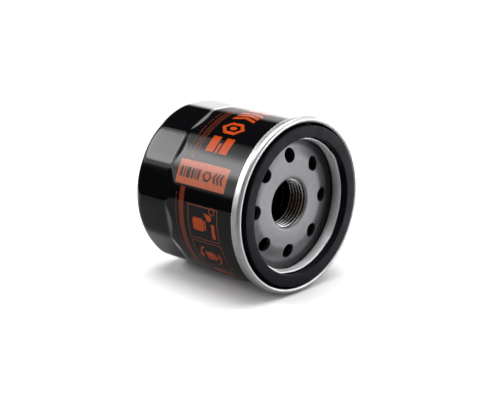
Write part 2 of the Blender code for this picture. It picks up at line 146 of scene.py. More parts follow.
def cut_out(piece, cutters, smooth_angle):
    """Cuts the cutters out of the piece and removes them."""
    for cutter in cutters:
        modifier = piece.modifiers.new("cut", "BOOLEAN")
        modifier.operation = "DIFFERENCE"
        modifier.solver = "EXACT"
        modifier.object = cutter
    evaluated = piece.evaluated_get(bpy.context.evaluated_depsgraph_get())
    mesh = bpy.data.meshes.new_from_object(evaluated)
    piece.modifiers.clear()
    piece.data = mesh
    smooth(mesh, smooth_angle)
    for cutter in cutters:
        bpy.data.objects.remove(cutter, do_unlink=True)


def arc(centre, radius, start_degrees, end_degrees, steps):
    """Points of an arc in the plane of depth and radius; zero points to greater depth."""
    points = []
    for step in range(steps + 1):
        turn = math.radians(start_degrees + (end_degrees - start_degrees) * step / steps)
        points.append(Vector(centre) + radius * Vector((math.cos(turn), math.sin(turn))))
    return points


def rounded(points, bend, steps=6):
    """Line whose inner corners are eased with curves of about the given bend."""
    line = [Vector(points[0])]
    for before, corner, after in zip(points, points[1:], points[2:]):
        middle = Vector(corner)
        back = Vector(before) - middle
        ahead = Vector(after) - middle
        reach = bend / math.tan(back.angle(ahead) / 2)
        start = middle + back.normalized() * min(reach, 0.49 * back.length)
        end = middle + ahead.normalized() * min(reach, 0.49 * ahead.length)
        for step in range(steps + 1):
            share = step / steps
            line.append(start.lerp(middle, share).lerp(middle.lerp(end, share), share))
    line.append(Vector(points[-1]))
    return line


def both_sides(line, thickness):
    """The two lines half a thickness to either side of a line."""
    sides = ([], [])
    for index, point in enumerate(line):
        before = line[max(index - 1, 0)]
        after = line[min(index + 1, len(line) - 1)]
        arriving = (point - before).normalized() if index else (after - point).normalized()
        leaving = (after - point).normalized() if point != after else arriving
        along = (arriving + leaving).normalized()
        normal = Vector((-along.y, along.x))
        spread = thickness / 2 / max(along.dot(leaving), 0.5)
        sides[0].append(point + normal * spread)
        sides[1].append(point - normal * spread)
    return sides


def sheet(points, bend):
    """Closed outline of bent sheet metal with rounded bends and its middle on the points."""
    left, right = both_sides(rounded(points, bend), SHEET)
    return left + right[::-1]


def closed_round(points, bend, steps=4):
    """Closed outline whose every corner is eased."""
    looped = [points[-1]] + list(points) + [points[0]]
    return rounded(looped, bend, steps)[1:-1]


def block(front, rear, inner, outer, bend=0.12 * MM, steps=4):
    """Closed outline of a plain ring with eased edges."""
    corners = [(front, inner), (front, outer), (rear, outer), (rear, inner)]
    return closed_round(corners, bend, steps)


def turned(outline, segments, shape=None, first_turn=0.0):
    """Solid made by turning a closed outline; shape moves a point (depth, radius) at a turn."""
    bm = bmesh.new()
    step = 2 * math.pi / segments
    rings = []
    for depth, radius in outline:
        if radius < 1e-7:
            rings.append([bm.verts.new(at(depth, 0.0, 0.0))])
            continue
        ring = []
        for index in range(segments):
            turn = first_turn + step * index
            place = shape(depth, radius, turn) if shape else (depth, radius)
            ring.append(bm.verts.new(at(place[0], place[1], turn)))
        rings.append(ring)
    for here, there in zip(rings, rings[1:] + rings[:1]):
        if len(here) == 1 and len(there) == 1:
            continue
        for index in range(segments):
            after = (index + 1) % segments
            corners = [here[index % len(here)], here[after % len(here)]]
            corners += [there[after % len(there)], there[index % len(there)]]
            bm.faces.new(list(dict.fromkeys(corners)))
    return bm


def bridge(bm, rings):
    """Quads between successive rings of equally many corners."""
    for here, there in zip(rings, rings[1:]):
        for index in range(len(here)):
            bm.faces.new((here[index - 1], here[index], there[index], there[index - 1]))


def skinned(rings):
    """Solid through rings of points, closed flat at both ends."""
    bm = bmesh.new()
    corners = [[bm.verts.new(point) for point in ring] for ring in rings]
    bridge(bm, corners)
    bm.faces.new(corners[0])
    bm.faces.new(corners[-1][::-1])
    return bm


def circle_turns(sides):
    return [2 * math.pi * side / sides for side in range(sides)]


def coil(front, rear, radius, wire_radius, turns):
    """Compression spring of round wire, whose end turns lie closer together than its middle ones."""
    closeness = 0.55
    steps_per_turn = 60
    sides = 14
    count = round(turns * steps_per_turn)
    path = []
    for step in range(count + 1):
        share = step / count
        turn = 2 * math.pi * turns * share
        eased = share - closeness * math.sin(2 * math.pi * share) / (2 * math.pi)
        depth = front + wire_radius + (rear - front - 2 * wire_radius) * eased
        outward = Vector((0.0, math.sin(turn), math.cos(turn)))
        path.append((at(depth, radius, turn), outward))
    rings = []
    for index, (point, outward) in enumerate(path):
        along = (path[min(index + 1, count)][0] - path[max(index - 1, 0)][0]).normalized()
        across = along.cross(outward).normalized()
        rings.append([point + wire_radius * (outward * math.cos(turn) + across * math.sin(turn))
                      for turn in circle_turns(sides)])
    return skinned(rings)


# Materials

def tinted(colour, strength):
    return tuple(strength * part for part in colour)


class Nodes:
    """A node tree whose nodes are added by short calls."""

    def __init__(self, tree):
        self.tree = tree

    def wire(self, value, socket):
        if isinstance(value, bpy.types.NodeSocket):
            self.tree.links.new(value, socket)
        else:
            socket.default_value = value

    def new(self, kind, **inputs):
        node = self.tree.nodes.new(kind)
        for name, value in inputs.items():
            self.wire(value, node.inputs[name])
        return node

    def math(self, operation, *values):
        node = self.new("ShaderNodeMath")
        node.operation = operation
        for value, socket in zip(values, node.inputs):
            self.wire(value, socket)
        return node.outputs[0]

    def times(self, one, other):
        return self.math("MULTIPLY", one, other)

    def split(self, vector):
        return self.new("ShaderNodeSeparateXYZ", Vector=vector).outputs[:]

    def remap(self, value, low, high, to_low=0.0, to_high=1.0):
        """Eased change from one output to another while the value goes from low to high."""
        node = self.new("ShaderNodeMapRange")
        node.interpolation_type = "SMOOTHSTEP"
        for socket, item in zip(node.inputs, (value, low, high, to_low, to_high)):
            self.wire(item, socket)
        return node.outputs[0]

    def band(self, value, rising, falling):
        """One between two slopes, each given by its start and end, and zero outside them."""
        return self.times(self.remap(value, *rising), self.remap(value, *falling, 1.0, 0.0))


class Look(Nodes):
    """A Principled material."""

    def __init__(self, name, colour, roughness, metallic=0.0, **inputs):
        self.material = bpy.data.materials.new(name)
        self.material.use_nodes = True
        super().__init__(self.material.node_tree)
        self.shader = self.tree.nodes["Principled BSDF"]
        self.coords = self.new("ShaderNodeTexCoord").outputs["Object"]
        self.use("Base Color", (*colour, 1.0))
        self.use("Roughness", roughness)
        self.use("Metallic", metallic)
        for socket, value in inputs.items():
            self.use(socket, value)

    def use(self, socket, value):
        self.wire(value, self.shader.inputs[socket])

    def cylinder(self):
        """Place along the filter's axis, radius from it and turn about it."""
        x, y, z = self.split(self.coords)
        up = self.math("SUBTRACT", z, AXIS_Z)
        square = self.math("ADD", self.times(y, y), self.times(up, up))
        return x, self.math("SQRT", square), self.math("ARCTAN2", y, up)

    def stretched(self, parts, scales):
        """Vector of three values, each scaled, for noise that is drawn out one way."""
        join = self.new("ShaderNodeCombineXYZ")
        for socket, part, scale in zip(join.inputs, parts, scales):
            self.wire(self.times(part, scale), socket)
        return join.outputs[0]

    def noise(self, scale, detail=3.0, roughness=0.55, vector=None):
        node = self.new("ShaderNodeTexNoise", Vector=vector or self.coords, Scale=scale,
                        Detail=detail, Roughness=roughness)
        return node.outputs[0]

    def cells(self, scale):
        node = self.new("ShaderNodeTexVoronoi", Vector=self.coords, Scale=scale)
        return node.outputs["Distance"]

    def blend(self, share, one, other):
        """Colour between two colours or colour sockets."""
        node = self.new("ShaderNodeMix")
        node.data_type = "RGBA"
        self.wire(share, node.inputs["Factor"])
        for item, socket in ((one, node.inputs[6]), (other, node.inputs[7])):
            self.wire((*item, 1.0) if isinstance(item, tuple) else item, socket)
        return node.outputs[2]

    def bump(self, *layers):
        """Chain of (height, strength, distance) bumps."""
        normal = None
        for height, strength, distance in layers:
            node = self.new("ShaderNodeBump", Height=height, Strength=strength, Distance=distance)
            if normal:
                self.wire(normal, node.inputs["Normal"])
            normal = node.outputs[0]
        self.use("Normal", normal)


def enamel(name, colour):
    """Gloss enamel on drawn steel: faint orange peel, soft rub marks and a little dust."""
    look = Look(name, colour, 0.05, IOR=1.33)
    look.use("Roughness", look.remap(look.noise(180.0, 4.0), 0.35, 0.8, 0.045, 0.11))
    specks = look.remap(look.cells(1100.0), 0.06, 0.12, 1.0, 0.0)
    sparse = look.remap(look.noise(300.0, 2.0), 0.60, 0.72, 0.0, 0.35)
    dust = look.times(specks, sparse)
    look.use("Base Color", look.blend(dust, colour, (0.5, 0.48, 0.45)))
    look.bump((look.noise(700.0, 2.0), 0.03, 0.1 * MM), (look.noise(60.0, 1.0), 0.02, 0.6 * MM))
    return look


def bright_zinc(name):
    """Zinc-plated sheet with faint turning streaks, a cloudy bloom and small scuffs, a painted
    highlight on the folded lip and painted shade in the crevice between the gasket and the seam."""
    colour = (0.58, 0.59, 0.595)
    roughness = 0.40
    look = Look(name, colour, roughness, 1.0)
    place = look.cylinder()
    radius = place[1]
    streaks = look.noise(1.0, 4.0, 0.6, look.stretched(place, (2600.0, 2600.0, 3.0)))
    bloom = look.noise(140.0, 4.0, 0.6)
    scuffs = look.remap(look.noise(900.0, 3.0), 0.62, 0.72)
    rough = look.remap(bloom, 0.3, 0.75, roughness - 0.07, roughness + 0.1)
    look.use("Roughness", look.math("ADD", rough, look.times(scuffs, 0.12)))
    shade = look.blend(look.remap(bloom, 0.35, 0.75, 0.0, 0.8), colour, tinted(colour, 0.78))
    shade = look.blend(look.remap(streaks, 0.4, 0.75, 0.0, 0.35), shade, tinted(colour, 1.25))
    # Painted highlight: the folded lip gets a brighter, less metallic colour.
    lip = look.remap(radius, GASKET_INNER - 0.2 * MM, GASKET_INNER + 0.1 * MM, 1.0, 0.0)
    shade = look.blend(lip, shade, (0.90, 0.915, 0.92))
    look.use("Metallic", look.remap(lip, 0.0, 1.0, 1.0, 0.55))
    # Painted shade in the crevice between the gasket and the seam.
    crevice_start = GASKET_OUTER - 0.15 * MM
    crevice_end = GASKET_OUTER + 1.05 * MM
    crevice_shade = look.band(radius, (crevice_start, crevice_start + 0.2 * MM),
                        (crevice_end, crevice_end + 0.3 * MM))
    look.use("Base Color", look.blend(crevice_shade, shade, (0.05, 0.05, 0.055)))
    look.bump((streaks, 0.05, 0.04 * MM), (look.noise(350.0, 3.0), 0.03, 0.1 * MM))
    return look


def gasket_rubber(name, colour=(0.006, 0.006, 0.010), roughness=0.46):
    """Moulded nitrile rubber with a fine grain and a faint dusty bloom."""
    look = Look(name, colour, roughness, IOR=1.20)
    bloom = look.noise(220.0, 4.0, 0.6)
    look.use("Roughness", look.remap(bloom, 0.3, 0.8, roughness - 0.08, roughness + 0.12))
    dusty = look.remap(bloom, 0.45, 0.8, 0.0, 0.7)
    look.use("Base Color", look.blend(dusty, colour, tinted(colour, 1.7)))
    look.bump((look.noise(2600.0, 2.0), 0.10, 0.05 * MM), (look.noise(300.0, 2.0), 0.05, 0.1 * MM))
    return look


def phosphated_steel(name):
    """Grey phosphated plate with painted shade towards its rim and on its punched walls, and an
    oiled thread with painted highlights on its crests and painted shade in its grooves.
    """
    look = Look(name, (0.3, 0.3, 0.3), 0.42, 0.85)
    x, radius, turn = look.cylinder()
    depth = look.math("SUBTRACT", FRONT, x)

    # Fine crystalline grain, faint stains and dark pits
    mottle = look.noise(320.0, 5.0, 0.65)
    shade = look.blend(look.remap(mottle, 0.3, 0.75), (0.195, 0.193, 0.205),
                       (0.255, 0.252, 0.265))
    stains = look.remap(look.noise(90.0, 3.0, 0.6), 0.55, 0.8, 0.0, 0.5)
    shade = look.blend(stains, shade, (0.16, 0.16, 0.17))
    pit_area = look.remap(look.noise(160.0, 2.0), 0.57, 0.66, 0.0, 0.7)
    pits = look.times(look.remap(look.cells(420.0), 0.03, 0.07, 1.0, 0.0), pit_area)
    shade = look.blend(pits, shade, (0.09, 0.085, 0.085))

    # Painted shade: darker towards the rim, and most of all beyond the inlet holes
    holes_end = INLET_PITCH_RADIUS + INLET_RADIUS + 0.16 * MM
    outward = look.remap(radius, 15.0 * MM, 21.0 * MM, 0.0, 0.08)
    shade = look.blend(outward, shade, (0.045, 0.045, 0.05))
    shoulder_shade = look.remap(radius, holes_end, DISH_END, 0.0, 0.75)
    shade = look.blend(shoulder_shade, shade, (0.02, 0.02, 0.022))

    # Thread with painted highlights on its crests and painted shade in its grooves, under a brown
    # film of oil on one side
    recoloured = look.band(turn, (math.radians(75.0), math.radians(105.0)),
                      (math.radians(128.0), math.radians(150.0)))
    crest_highlight = look.blend(recoloured, (0.84, 0.84, 0.84), (0.56, 0.43, 0.31))
    groove_shade = look.blend(recoloured, (0.03, 0.03, 0.03), (0.085, 0.045, 0.022))
    height = look.remap(radius, THREAD_MINOR + 0.08 * MM, THREAD_MINOR + 0.42 * MM)
    inside = look.remap(radius, THREAD_MAJOR + 0.05 * MM, THREAD_MAJOR + 0.6 * MM, 1.0, 0.0)
    threaded = look.remap(depth, PLATE_FACE + 0.5 * MM, PLATE_FACE + 1.3 * MM)
    in_bore = look.times(threaded, inside)
    shade = look.blend(in_bore, shade, look.blend(height, crest_highlight, groove_shade))

    # Painted shade on the walls of the inlet holes, which start behind the dished face
    dish = look.remap(radius, DISH_START, DISH_END, 0.0, PLATE_STEP)
    behind = look.remap(look.math("SUBTRACT", depth, dish),
                        PLATE_FACE + 0.2 * MM, PLATE_FACE + 0.5 * MM)
    between = look.band(radius, (12.0 * MM, 13.0 * MM), (holes_end, holes_end + 0.2 * MM))
    punched_wall_shade = look.times(look.times(behind, between), 0.6)
    look.use("Base Color", look.blend(punched_wall_shade, shade, (0.02, 0.02, 0.02)))

    dull = look.remap(mottle, 0.3, 0.8, 0.40, 0.54)
    look.use("Roughness", look.math("SUBTRACT", dull, look.times(in_bore, 0.16)))
    outside = look.math("SUBTRACT", 1.0, in_bore)
    look.bump((look.times(mottle, outside), 0.08, 0.05 * MM),
              (look.times(look.noise(1500.0, 2.0), outside), 0.08, 0.03 * MM),
              (look.math("SUBTRACT", 1.0, pits), 0.25, 0.08 * MM))
    return look


def plain_steel(name, colour, roughness, recoloured=0.0):
    """Tinned or drawn steel with light handling marks, and painted shade inside the given radius."""
    look = Look(name, colour, roughness, 1.0)
    marks = look.noise(260.0, 4.0, 0.6)
    look.use("Roughness", look.remap(marks, 0.3, 0.8, roughness - 0.06, roughness + 0.12))
    shade = look.blend(look.remap(marks, 0.4, 0.8, 0.0, 0.8), colour, tinted(colour, 0.8))
    if recoloured:
        # Painted shade: dark inside the given radius, where little light reaches.
        inside = look.remap(look.cylinder()[1], recoloured - 0.2 * MM, recoloured, 1.0, 0.0)
        shade = look.blend(inside, shade, (0.012, 0.011, 0.010))
    look.use("Base Color", shade)
    look.bump((look.noise(900.0, 3.0), 0.06, 0.05 * MM))
    return look


def filter_paper(name):
    """Resin-treated paper with visible fibres."""
    look = Look(name, (0.78, 0.60, 0.30), 0.85)
    strands = look.noise(1.0, 4.0, 0.7, look.stretched(look.cylinder(), (5200.0, 900.0, 60.0)))
    look.use("Base Color", look.blend(look.remap(strands, 0.3, 0.75),
                                      (0.66, 0.47, 0.20), (0.84, 0.68, 0.38)))
    look.bump((strands, 0.25, 0.1 * MM))
    return look


def plastisol(name):
    """Cloudy cream-coloured adhesive."""
    look = Look(name, (0.74, 0.72, 0.64), 0.5)
    cloud = look.noise(200.0, 3.0)
    look.use("Base Color", look.blend(cloud, (0.66, 0.63, 0.53), (0.80, 0.78, 0.71)))
    look.bump((look.noise(400.0, 2.0), 0.15, 0.15 * MM))
    return look


# Shell

def flat_radius(apothem, within):
    """Radius of a polygon with rounded corners; within is the turn from a flat's middle."""
    corner = 6.0 * MM
    half = math.pi / FLAT_COUNT
    centre = (apothem - corner) / math.cos(half)
    edge = math.atan(centre * math.sin(half) / apothem)
    if abs(within) < edge:
        return apothem / math.cos(within)
    off = half - abs(within)
    return centre * math.cos(off) + math.sqrt(corner ** 2 - (centre * math.sin(off)) ** 2)


def can_shape(depth, radius, turn):
    """The can's wall, where sloped shoulders lead down to the wrench flats."""
    side = 2 * math.pi / FLAT_COUNT
    within = (turn - FLAT_TURN) % side - side / 2
    into_bend = min(max(depth - (LENGTH - END_BEND), 0.0), END_BEND)
    full = CAN_RADIUS - END_BEND + math.sqrt(END_BEND ** 2 - into_bend ** 2)
    drop = ease((depth - SHOULDER_START) / (SHOULDER_END - SHOULDER_START))
    if drop == 0.0:
        return depth, radius
    flat = flat_radius(CAN_RADIUS + (FLAT_APOTHEM - CAN_RADIUS) * drop, within)
    soft = 0.02 * MM + 0.16 * MM * drop
    wall = min(flat, full) - soft * math.log1p(math.exp(-abs(flat - full) / soft))
    return depth, radius * wall / full


def make_can():
    """Drawn can: flange, straight wall, shoulders that lead to the flats, round bend and end."""
    wall = CAN_RADIUS - SHEET / 2
    end = LENGTH - SHEET / 2
    bend = END_BEND - SHEET / 2
    flange_depth = 2.1 * MM
    flange_radius = 33.5 * MM
    line = rounded([(flange_depth, flange_radius), (flange_depth, wall), (8.0 * MM, wall)],
                   0.5 * MM)
    straight = [depth * MM for depth in (14, 20, 26, 31, 35)]
    shoulders = [(36.0 + 0.25 * step) * MM for step in range(26)]
    flats = [depth * MM for depth in range(43, 53)]
    line += [Vector((depth, wall)) for depth in straight + shoulders + flats]
    line += arc((end - bend, wall - bend), bend, 90.0, 0.0, 28)
    line += [Vector((end, 22.0 * MM)), Vector((end, 10.0 * MM))]
    outer, inner = both_sides(line, SHEET)
    outer.append(Vector((LENGTH, 0.0)))
    inner.append(Vector((LENGTH - SHEET, 0.0)))
    bm = turned(outer + inner[::-1], FLAT_COUNT * 24, can_shape, FLAT_TURN)
    look = enamel("black_enamel", (0.0025, 0.0025, 0.003))
    add_piece("can", bm, "shell", look)


def lip_shape(depth, radius, turn):
    """Pushes the lid's lip outwards at five stakes that hold the gasket."""
    stake_count = 5
    first_stake = math.radians(57.0)
    stake_width = math.radians(7.0)
    push = 0.45 * MM
    spacing = 2 * math.pi / stake_count
    off = (turn - first_stake + spacing / 2) % spacing - spacing / 2
    strength = math.exp(-(off / stake_width) ** 2)
    near_lip = ease((GASKET_INNER + 0.5 * MM - radius) / (0.6 * MM))
    high = ease((6.0 * MM - depth) / (2.5 * MM))
    return depth, radius + push * strength * near_lip * high


def make_lid():
    """Rolled seam, chuck wall, the gasket's channel, and a lip folded back on itself."""
    thickness = 0.45 * MM
    half = thickness / 2
    channel = GASKET_DEPTH + GAP + half
    chuck = GASKET_OUTER + 0.65 * MM + half
    inside = GASKET_INNER - GAP
    lip = inside - half
    top = SEAM_RADIUS - half
    seam_front = 1.0 * MM
    seam_rear = 4.7 * MM
    bend = 0.7 * MM
    line = rounded([(seam_rear - half, CAN_RADIUS + GAP + half), (seam_rear - half, top),
                    (2.6 * MM, top)], bend)
    line += arc((seam_front + half + 1.05 * MM, (top + chuck) / 2), (top - chuck) / 2,
                90.0, 270.0, 14)
    line += rounded([(3.6 * MM, chuck), (channel, chuck), (channel, lip), (3.2 * MM, lip)], bend)
    towards, away = both_sides(line, thickness)
    fold_radius = 0.38 * MM
    fold = arc((3.0 * MM, inside - fold_radius), fold_radius, 90.0, 250.0, 12)[1:]
    # The folded edge leans inwards and ends in a small curl: depths, and distances in from the lip
    edge = ((4.2, 0.85), (5.15, 1.10), (5.32, 1.07), (5.40, 0.93), (5.36, 0.60))
    fold += [Vector((depth * MM, inside - inset * MM)) for depth, inset in edge]
    bm = turned(away + fold + towards[::-1], 288, lip_shape)
    add_piece("seaming_lid", bm, "shell", bright_zinc("zinc_plate_look"))


def make_seam_compound():
    bm = turned(block(2.8 * MM, 3.9 * MM, CAN_RADIUS + GAP, SEAM_RADIUS - 0.8 * MM), 160)
    look = gasket_rubber("seam_compound_look", (0.10, 0.10, 0.11))
    add_piece("seam_compound", bm, "shell", look)


def make_gasket():
    bm = turned(block(0.0, GASKET_DEPTH, GASKET_INNER, GASKET_OUTER, 0.35 * MM, 6), 240)
    look = gasket_rubber("gasket_rubber_look")
    add_piece("sealing_gasket", bm, "shell", look)


def thread_tap():
    """Screw whose removal leaves the internal thread, with rounded crests and roots."""
    segments = 96
    per_pitch = 8
    core = THREAD_MINOR - 0.1 * MM
    start = PLATE_FACE - 2 * THREAD_PITCH
    rows = per_pitch * (math.ceil((HUB_REAR - start) / THREAD_PITCH) + 1)
    sharpness = 1.25
    flattened = 0.12
    bm = bmesh.new()
    grid = []
    for index in range(segments + 1):
        column = []
        for row in range(rows + 1):
            depth = start + (row / per_pitch + index / segments) * THREAD_PITCH
            wave = 0.5 - 0.5 * math.cos(2 * math.pi * row / per_pitch)
            height = min(max(sharpness * wave - flattened, 0.0), 1.0)
            radius = core + (THREAD_MAJOR - core) * height
            column.append((depth, radius, 2 * math.pi * index / segments))
        grid.append(column)
    columns = [[bm.verts.new(at(*place)) for place in column] for column in grid[:-1]]
    # The last column is the first one moved by a pitch, so they share all but its last corners
    extra = [bm.verts.new(at(*place)) for place in grid[-1][rows + 1 - per_pitch:]]
    seam = columns[0] + extra
    columns.append(seam[per_pitch:])
    for here, there in zip(columns, columns[1:]):
        for row in range(rows):
            bm.faces.new((here[row], there[row], there[row + 1], here[row + 1]))
    ends = ((0, start - THREAD_PITCH, seam[:per_pitch + 1]),
            (-1, HUB_REAR + 3 * THREAD_PITCH, seam[-per_pitch - 1:]))
    for row, depth, step in ends:
        middle = bm.verts.new(at(depth, 0.0, 0.0))
        loop = [column[row] for column in columns] + step[::-1][1:-1]
        for here, there in zip(loop, loop[1:] + loop[:1]):
            bm.faces.new((here, there, middle))
    return new_object("thread_tap", bm)


def inlet_punch(index):
    """Punch for one inlet hole."""
    turn = INLET_TURN + 2 * math.pi * index / INLET_COUNT
    rings = []
    for depth in (PLATE_FACE - 1.0 * MM, PLATE_FACE + 3 * PLATE_THICKNESS):
        centre = at(depth, INLET_PITCH_RADIUS, turn)
        rings.append([centre + INLET_RADIUS * Vector((0.0, math.sin(around), math.cos(around)))
                      for around in circle_turns(48)])
    return new_object(f"inlet_punch_{index}", skinned(rings))


def plate_outline():
    """Outline of the dished plate: rounded lead-in, face, slope, rim, and the extruded hub."""
    rim_face = PLATE_FACE + PLATE_STEP
    back = PLATE_FACE + PLATE_THICKNESS
    lead_in = 1.6 * MM
    lead_steps = 10
    slope_steps = 20
    line = []
    for step in range(lead_steps + 1):
        swing = math.pi / 2 * step / lead_steps
        line.append((PLATE_FACE + lead_in * (1 - math.sin(swing)),
                     THREAD_MINOR + lead_in * (1 - math.cos(swing))))
    line.append((PLATE_FACE, 13.0 * MM))
    shares = [step / slope_steps for step in range(slope_steps + 1)]
    slope = [(PLATE_STEP * ease(share), DISH_START + (DISH_END - DISH_START) * share)
             for share in shares]
    line += [(PLATE_FACE + drop, radius) for drop, radius in slope]
    line += [(rim_face, 27.0 * MM), (rim_face, GASKET_OUTER)]
    line.append((rim_face + PLATE_THICKNESS, GASKET_OUTER))
    line += [(back + drop, radius) for drop, radius in slope[::-1]]
    line += rounded([(back, 15.5 * MM), (back, 12.2 * MM), (HUB_REAR, 11.2 * MM),
                     (HUB_REAR, THREAD_MINOR)], 0.8 * MM)
    return line


def make_plate():
    bm = turned(plate_outline(), 240)
    look = phosphated_steel("phosphated_steel_look")
    plate = add_piece("tapping_plate", bm, "shell", look)
    punches = [inlet_punch(index) for index in range(INLET_COUNT)]
    cut_out(plate, punches + [thread_tap()], 38.0)


# Inside the can

def make_drainback_valve():
    """Rubber skirt that leans on the plate's back, with a collar that seals on the hub."""
    rim_back = PLATE_FACE + PLATE_STEP + PLATE_THICKNESS
    front = HUB_REAR + GAP
    skirt = rounded([(front + 1.6 * MM, 13.0 * MM), (front + 0.2 * MM, 16.0 * MM),
                     (rim_back + 2.6 * MM, 19.8 * MM), (rim_back + 1.2 * MM, 23.0 * MM),
                     (rim_back + GAP + 0.45 * MM, 26.2 * MM)], 3.0 * MM, 8)
    near, far = both_sides(skirt, 0.9 * MM)
    collar = rounded([far[0], (front + 2.3 * MM, 13.2 * MM), (front + 2.3 * MM, 9.9 * MM),
                      (front, 9.9 * MM), (front, 12.4 * MM), near[0]], 0.3 * MM, 4)
    bm = turned(near + far[::-1] + collar[1:-1], 160)
    look = gasket_rubber("valve_rubber_look", (0.005, 0.005, 0.005), 0.14)
    flex = ("shell", "drainback_valve", at(front + 0.8 * MM, 0.0, 0.0),
            at(rim_back + 1.0 * MM, 0.0, 0.0))
    add_piece("anti_drainback_valve", bm, flex, look)


def make_end_cap(name, face, rim_end, hole, neck_end=None):
    """Pressed cap with a rim round the paper, and a neck where one is asked for."""
    half = SHEET / 2
    inward = 1 if rim_end > face else -1
    rim = CAP_RADIUS - half
    points = [(rim_end, rim), (face + inward * half, rim)]
    points.append((face + inward * half, hole + (half if neck_end else 0.0)))
    if neck_end:
        points.append((neck_end, hole + half))
    bm = turned(sheet(points, 0.6 * MM), 160)
    look = plain_steel(f"{name}_tinplate", (0.68, 0.69, 0.68), 0.28, 11.6 * MM)
    add_piece(name, bm, "element", look)


def make_centre_tube():
    """Perforated tube, drilled right through in three rows."""
    rows = 3
    across = 4
    drill_radius = 1.9 * MM
    margin = 1.0 * MM
    front = ELEMENT_FRONT + SHEET + GAP
    rear = ELEMENT_REAR - SHEET - GAP
    bm = turned(block(front, rear, TUBE_RADIUS - 0.4 * MM, TUBE_RADIUS, 0.1 * MM), 160)
    look = plain_steel("tube_steel_look", (0.56, 0.57, 0.58), 0.32, 11.1 * MM)
    tube = add_piece("centre_tube", bm, "element", look)
    drills = bmesh.new()
    span = rear - front - 2 * margin
    for row in range(rows):
        centre = at(front + margin + span * (row + 0.5) / rows, 0.0, 0.0)
        for index in range(across):
            turn = math.pi * (index + 0.5 * (row % 2)) / across
            along = Vector((0.0, math.sin(turn), math.cos(turn)))
            turned_to = along.to_track_quat("Z", "Y").to_matrix().to_4x4()
            bmesh.ops.create_cone(drills, cap_ends=True, segments=28, radius1=drill_radius,
                                  radius2=drill_radius, depth=4 * TUBE_RADIUS,
                                  matrix=Matrix.Translation(centre) @ turned_to)
    cut_out(tube, [new_object("tube_drills", drills)], 35.0)


def media_span():
    """Depths at which the paper starts and ends, between the two adhesive rings."""
    clearance = SHEET + GAP + ADHESIVE + GAP
    return ELEMENT_FRONT + clearance, ELEMENT_REAR - clearance


def make_media():
    """Paper folded like a star, with its two ends side by side under the clip."""
    front, rear = media_span()
    count = 32
    paper = 0.5 * MM
    inner = 12.3 * MM
    step = 2 * math.pi / count
    flap = math.asin(0.55 * MM / FOLD_OUTER)
    folds = [(flap, FOLD_OUTER)]
    for index in range(count):
        folds.append((step * (index + 0.5), inner))
        folds.append((step * (index + 1), FOLD_OUTER))
    folds[-1] = (2 * math.pi - flap, FOLD_OUTER)
    points = [(radius * math.sin(turn), radius * math.cos(turn)) for turn, radius in folds]
    left, right = both_sides(rounded(points, paper), paper)
    outline = left + right[::-1]
    levels = 6
    bm = bmesh.new()
    rings = []
    for level in range(levels + 1):
        x = FRONT - (front + (rear - front) * level / levels)
        rings.append([bm.verts.new((x, point.x, AXIS_Z + point.y)) for point in outline])
    bridge(bm, rings)
    total = len(outline)
    for end in (rings[0], rings[-1]):
        for index in range(total // 2 - 1):
            bm.faces.new((end[index], end[index + 1], end[total - 2 - index],
                          end[total - 1 - index]))
    look = filter_paper("filter_paper_look")
    add_piece("pleated_media", bm, "element", look, 60.0)


def make_seam_clip():
    """Strip folded over the two ends of the paper."""
    front, rear = media_span()
    wall = 0.35 * MM
    half = 1.15 * MM + wall / 2
    base = FOLD_OUTER + GAP + wall / 2
    foot = 24.5 * MM
    line = rounded([(-half, foot), (-half, base), (half, base), (half, foot)], wall, 4)
    left, right = both_sides(line, wall)
    ends = (FRONT - front - GAP, FRONT - rear + GAP)
    bm = skinned([[(x, point.x, AXIS_Z + point.y) for point in left + right[::-1]] for x in ends])
    look = plain_steel("clip_steel_look", (0.6, 0.61, 0.62), 0.3)
    add_piece("media_seam_clip", bm, "element", look)


def make_adhesive(name, front, rear):
    bm = turned(block(front, rear, TUBE_RADIUS + GAP, CAP_RADIUS - 0.8 * MM, 0.3 * MM), 160)
    add_piece(name, bm, "element", plastisol(f"{name}_look"))


def make_spring_seat():
    front = ELEMENT_REAR + GAP + SHEET / 2
    points = [(front + 1.4 * MM, 10.6 * MM), (front, 11.0 * MM), (front, 16.2 * MM),
              (front + 1.4 * MM, 16.6 * MM)]
    bm = turned(sheet(points, 0.4 * MM), 128)
    look = plain_steel("spring_seat_look", (0.5, 0.51, 0.52), 0.4)
    add_piece("spring_seat", bm, "element", look)


def make_element_spring():
    front = ELEMENT_REAR + GAP + SHEET + GAP
    rear = LENGTH - SHEET - GAP
    bm = coil(front, rear, 13.4 * MM, 0.85 * MM, 3.0)
    flex = ("shell", "element", at(rear - 0.8 * MM, 0, 0), at(front + 0.8 * MM, 0, 0))
    look = plain_steel("element_spring_look", (0.42, 0.43, 0.44), 0.25)
    add_piece("element_spring", bm, flex, look)


def make_bypass_cage():
    foot = ELEMENT_REAR - SHEET - GAP - SHEET / 2
    wall = 9.9 * MM - SHEET / 2
    points = [(foot, TUBE_RADIUS - 0.7 * MM), (foot, wall), (CAGE_FRONT + SHEET / 2, wall),
              (CAGE_FRONT + SHEET / 2, 1.9 * MM)]
    bm = turned(sheet(points, 0.7 * MM), 128)
    look = plain_steel("bypass_cage_look", (0.30, 0.30, 0.31), 0.36)
    cage = add_piece("bypass_valve_cage", bm, "element", look)
    front = CAGE_FRONT + 2.4 * MM
    rear = foot - 3.4 * MM
    for turn in (0.0, math.pi / 2):
        bar = bmesh.new()
        place = Matrix.Translation(at((front + rear) / 2, 0.0, 0.0))
        place = place @ Matrix.Rotation(turn, 4, "X")
        place = place @ Matrix.Diagonal((rear - front, 8.0 * MM, 30.0 * MM, 1.0))
        bmesh.ops.create_cube(bar, size=1.0, matrix=place)
        bmesh.ops.bevel(bar, geom=bar.edges[:], offset=1.2 * MM, segments=4, affect="EDGES")
        cut_out(cage, [new_object("cage_window", bar)], 35.0)


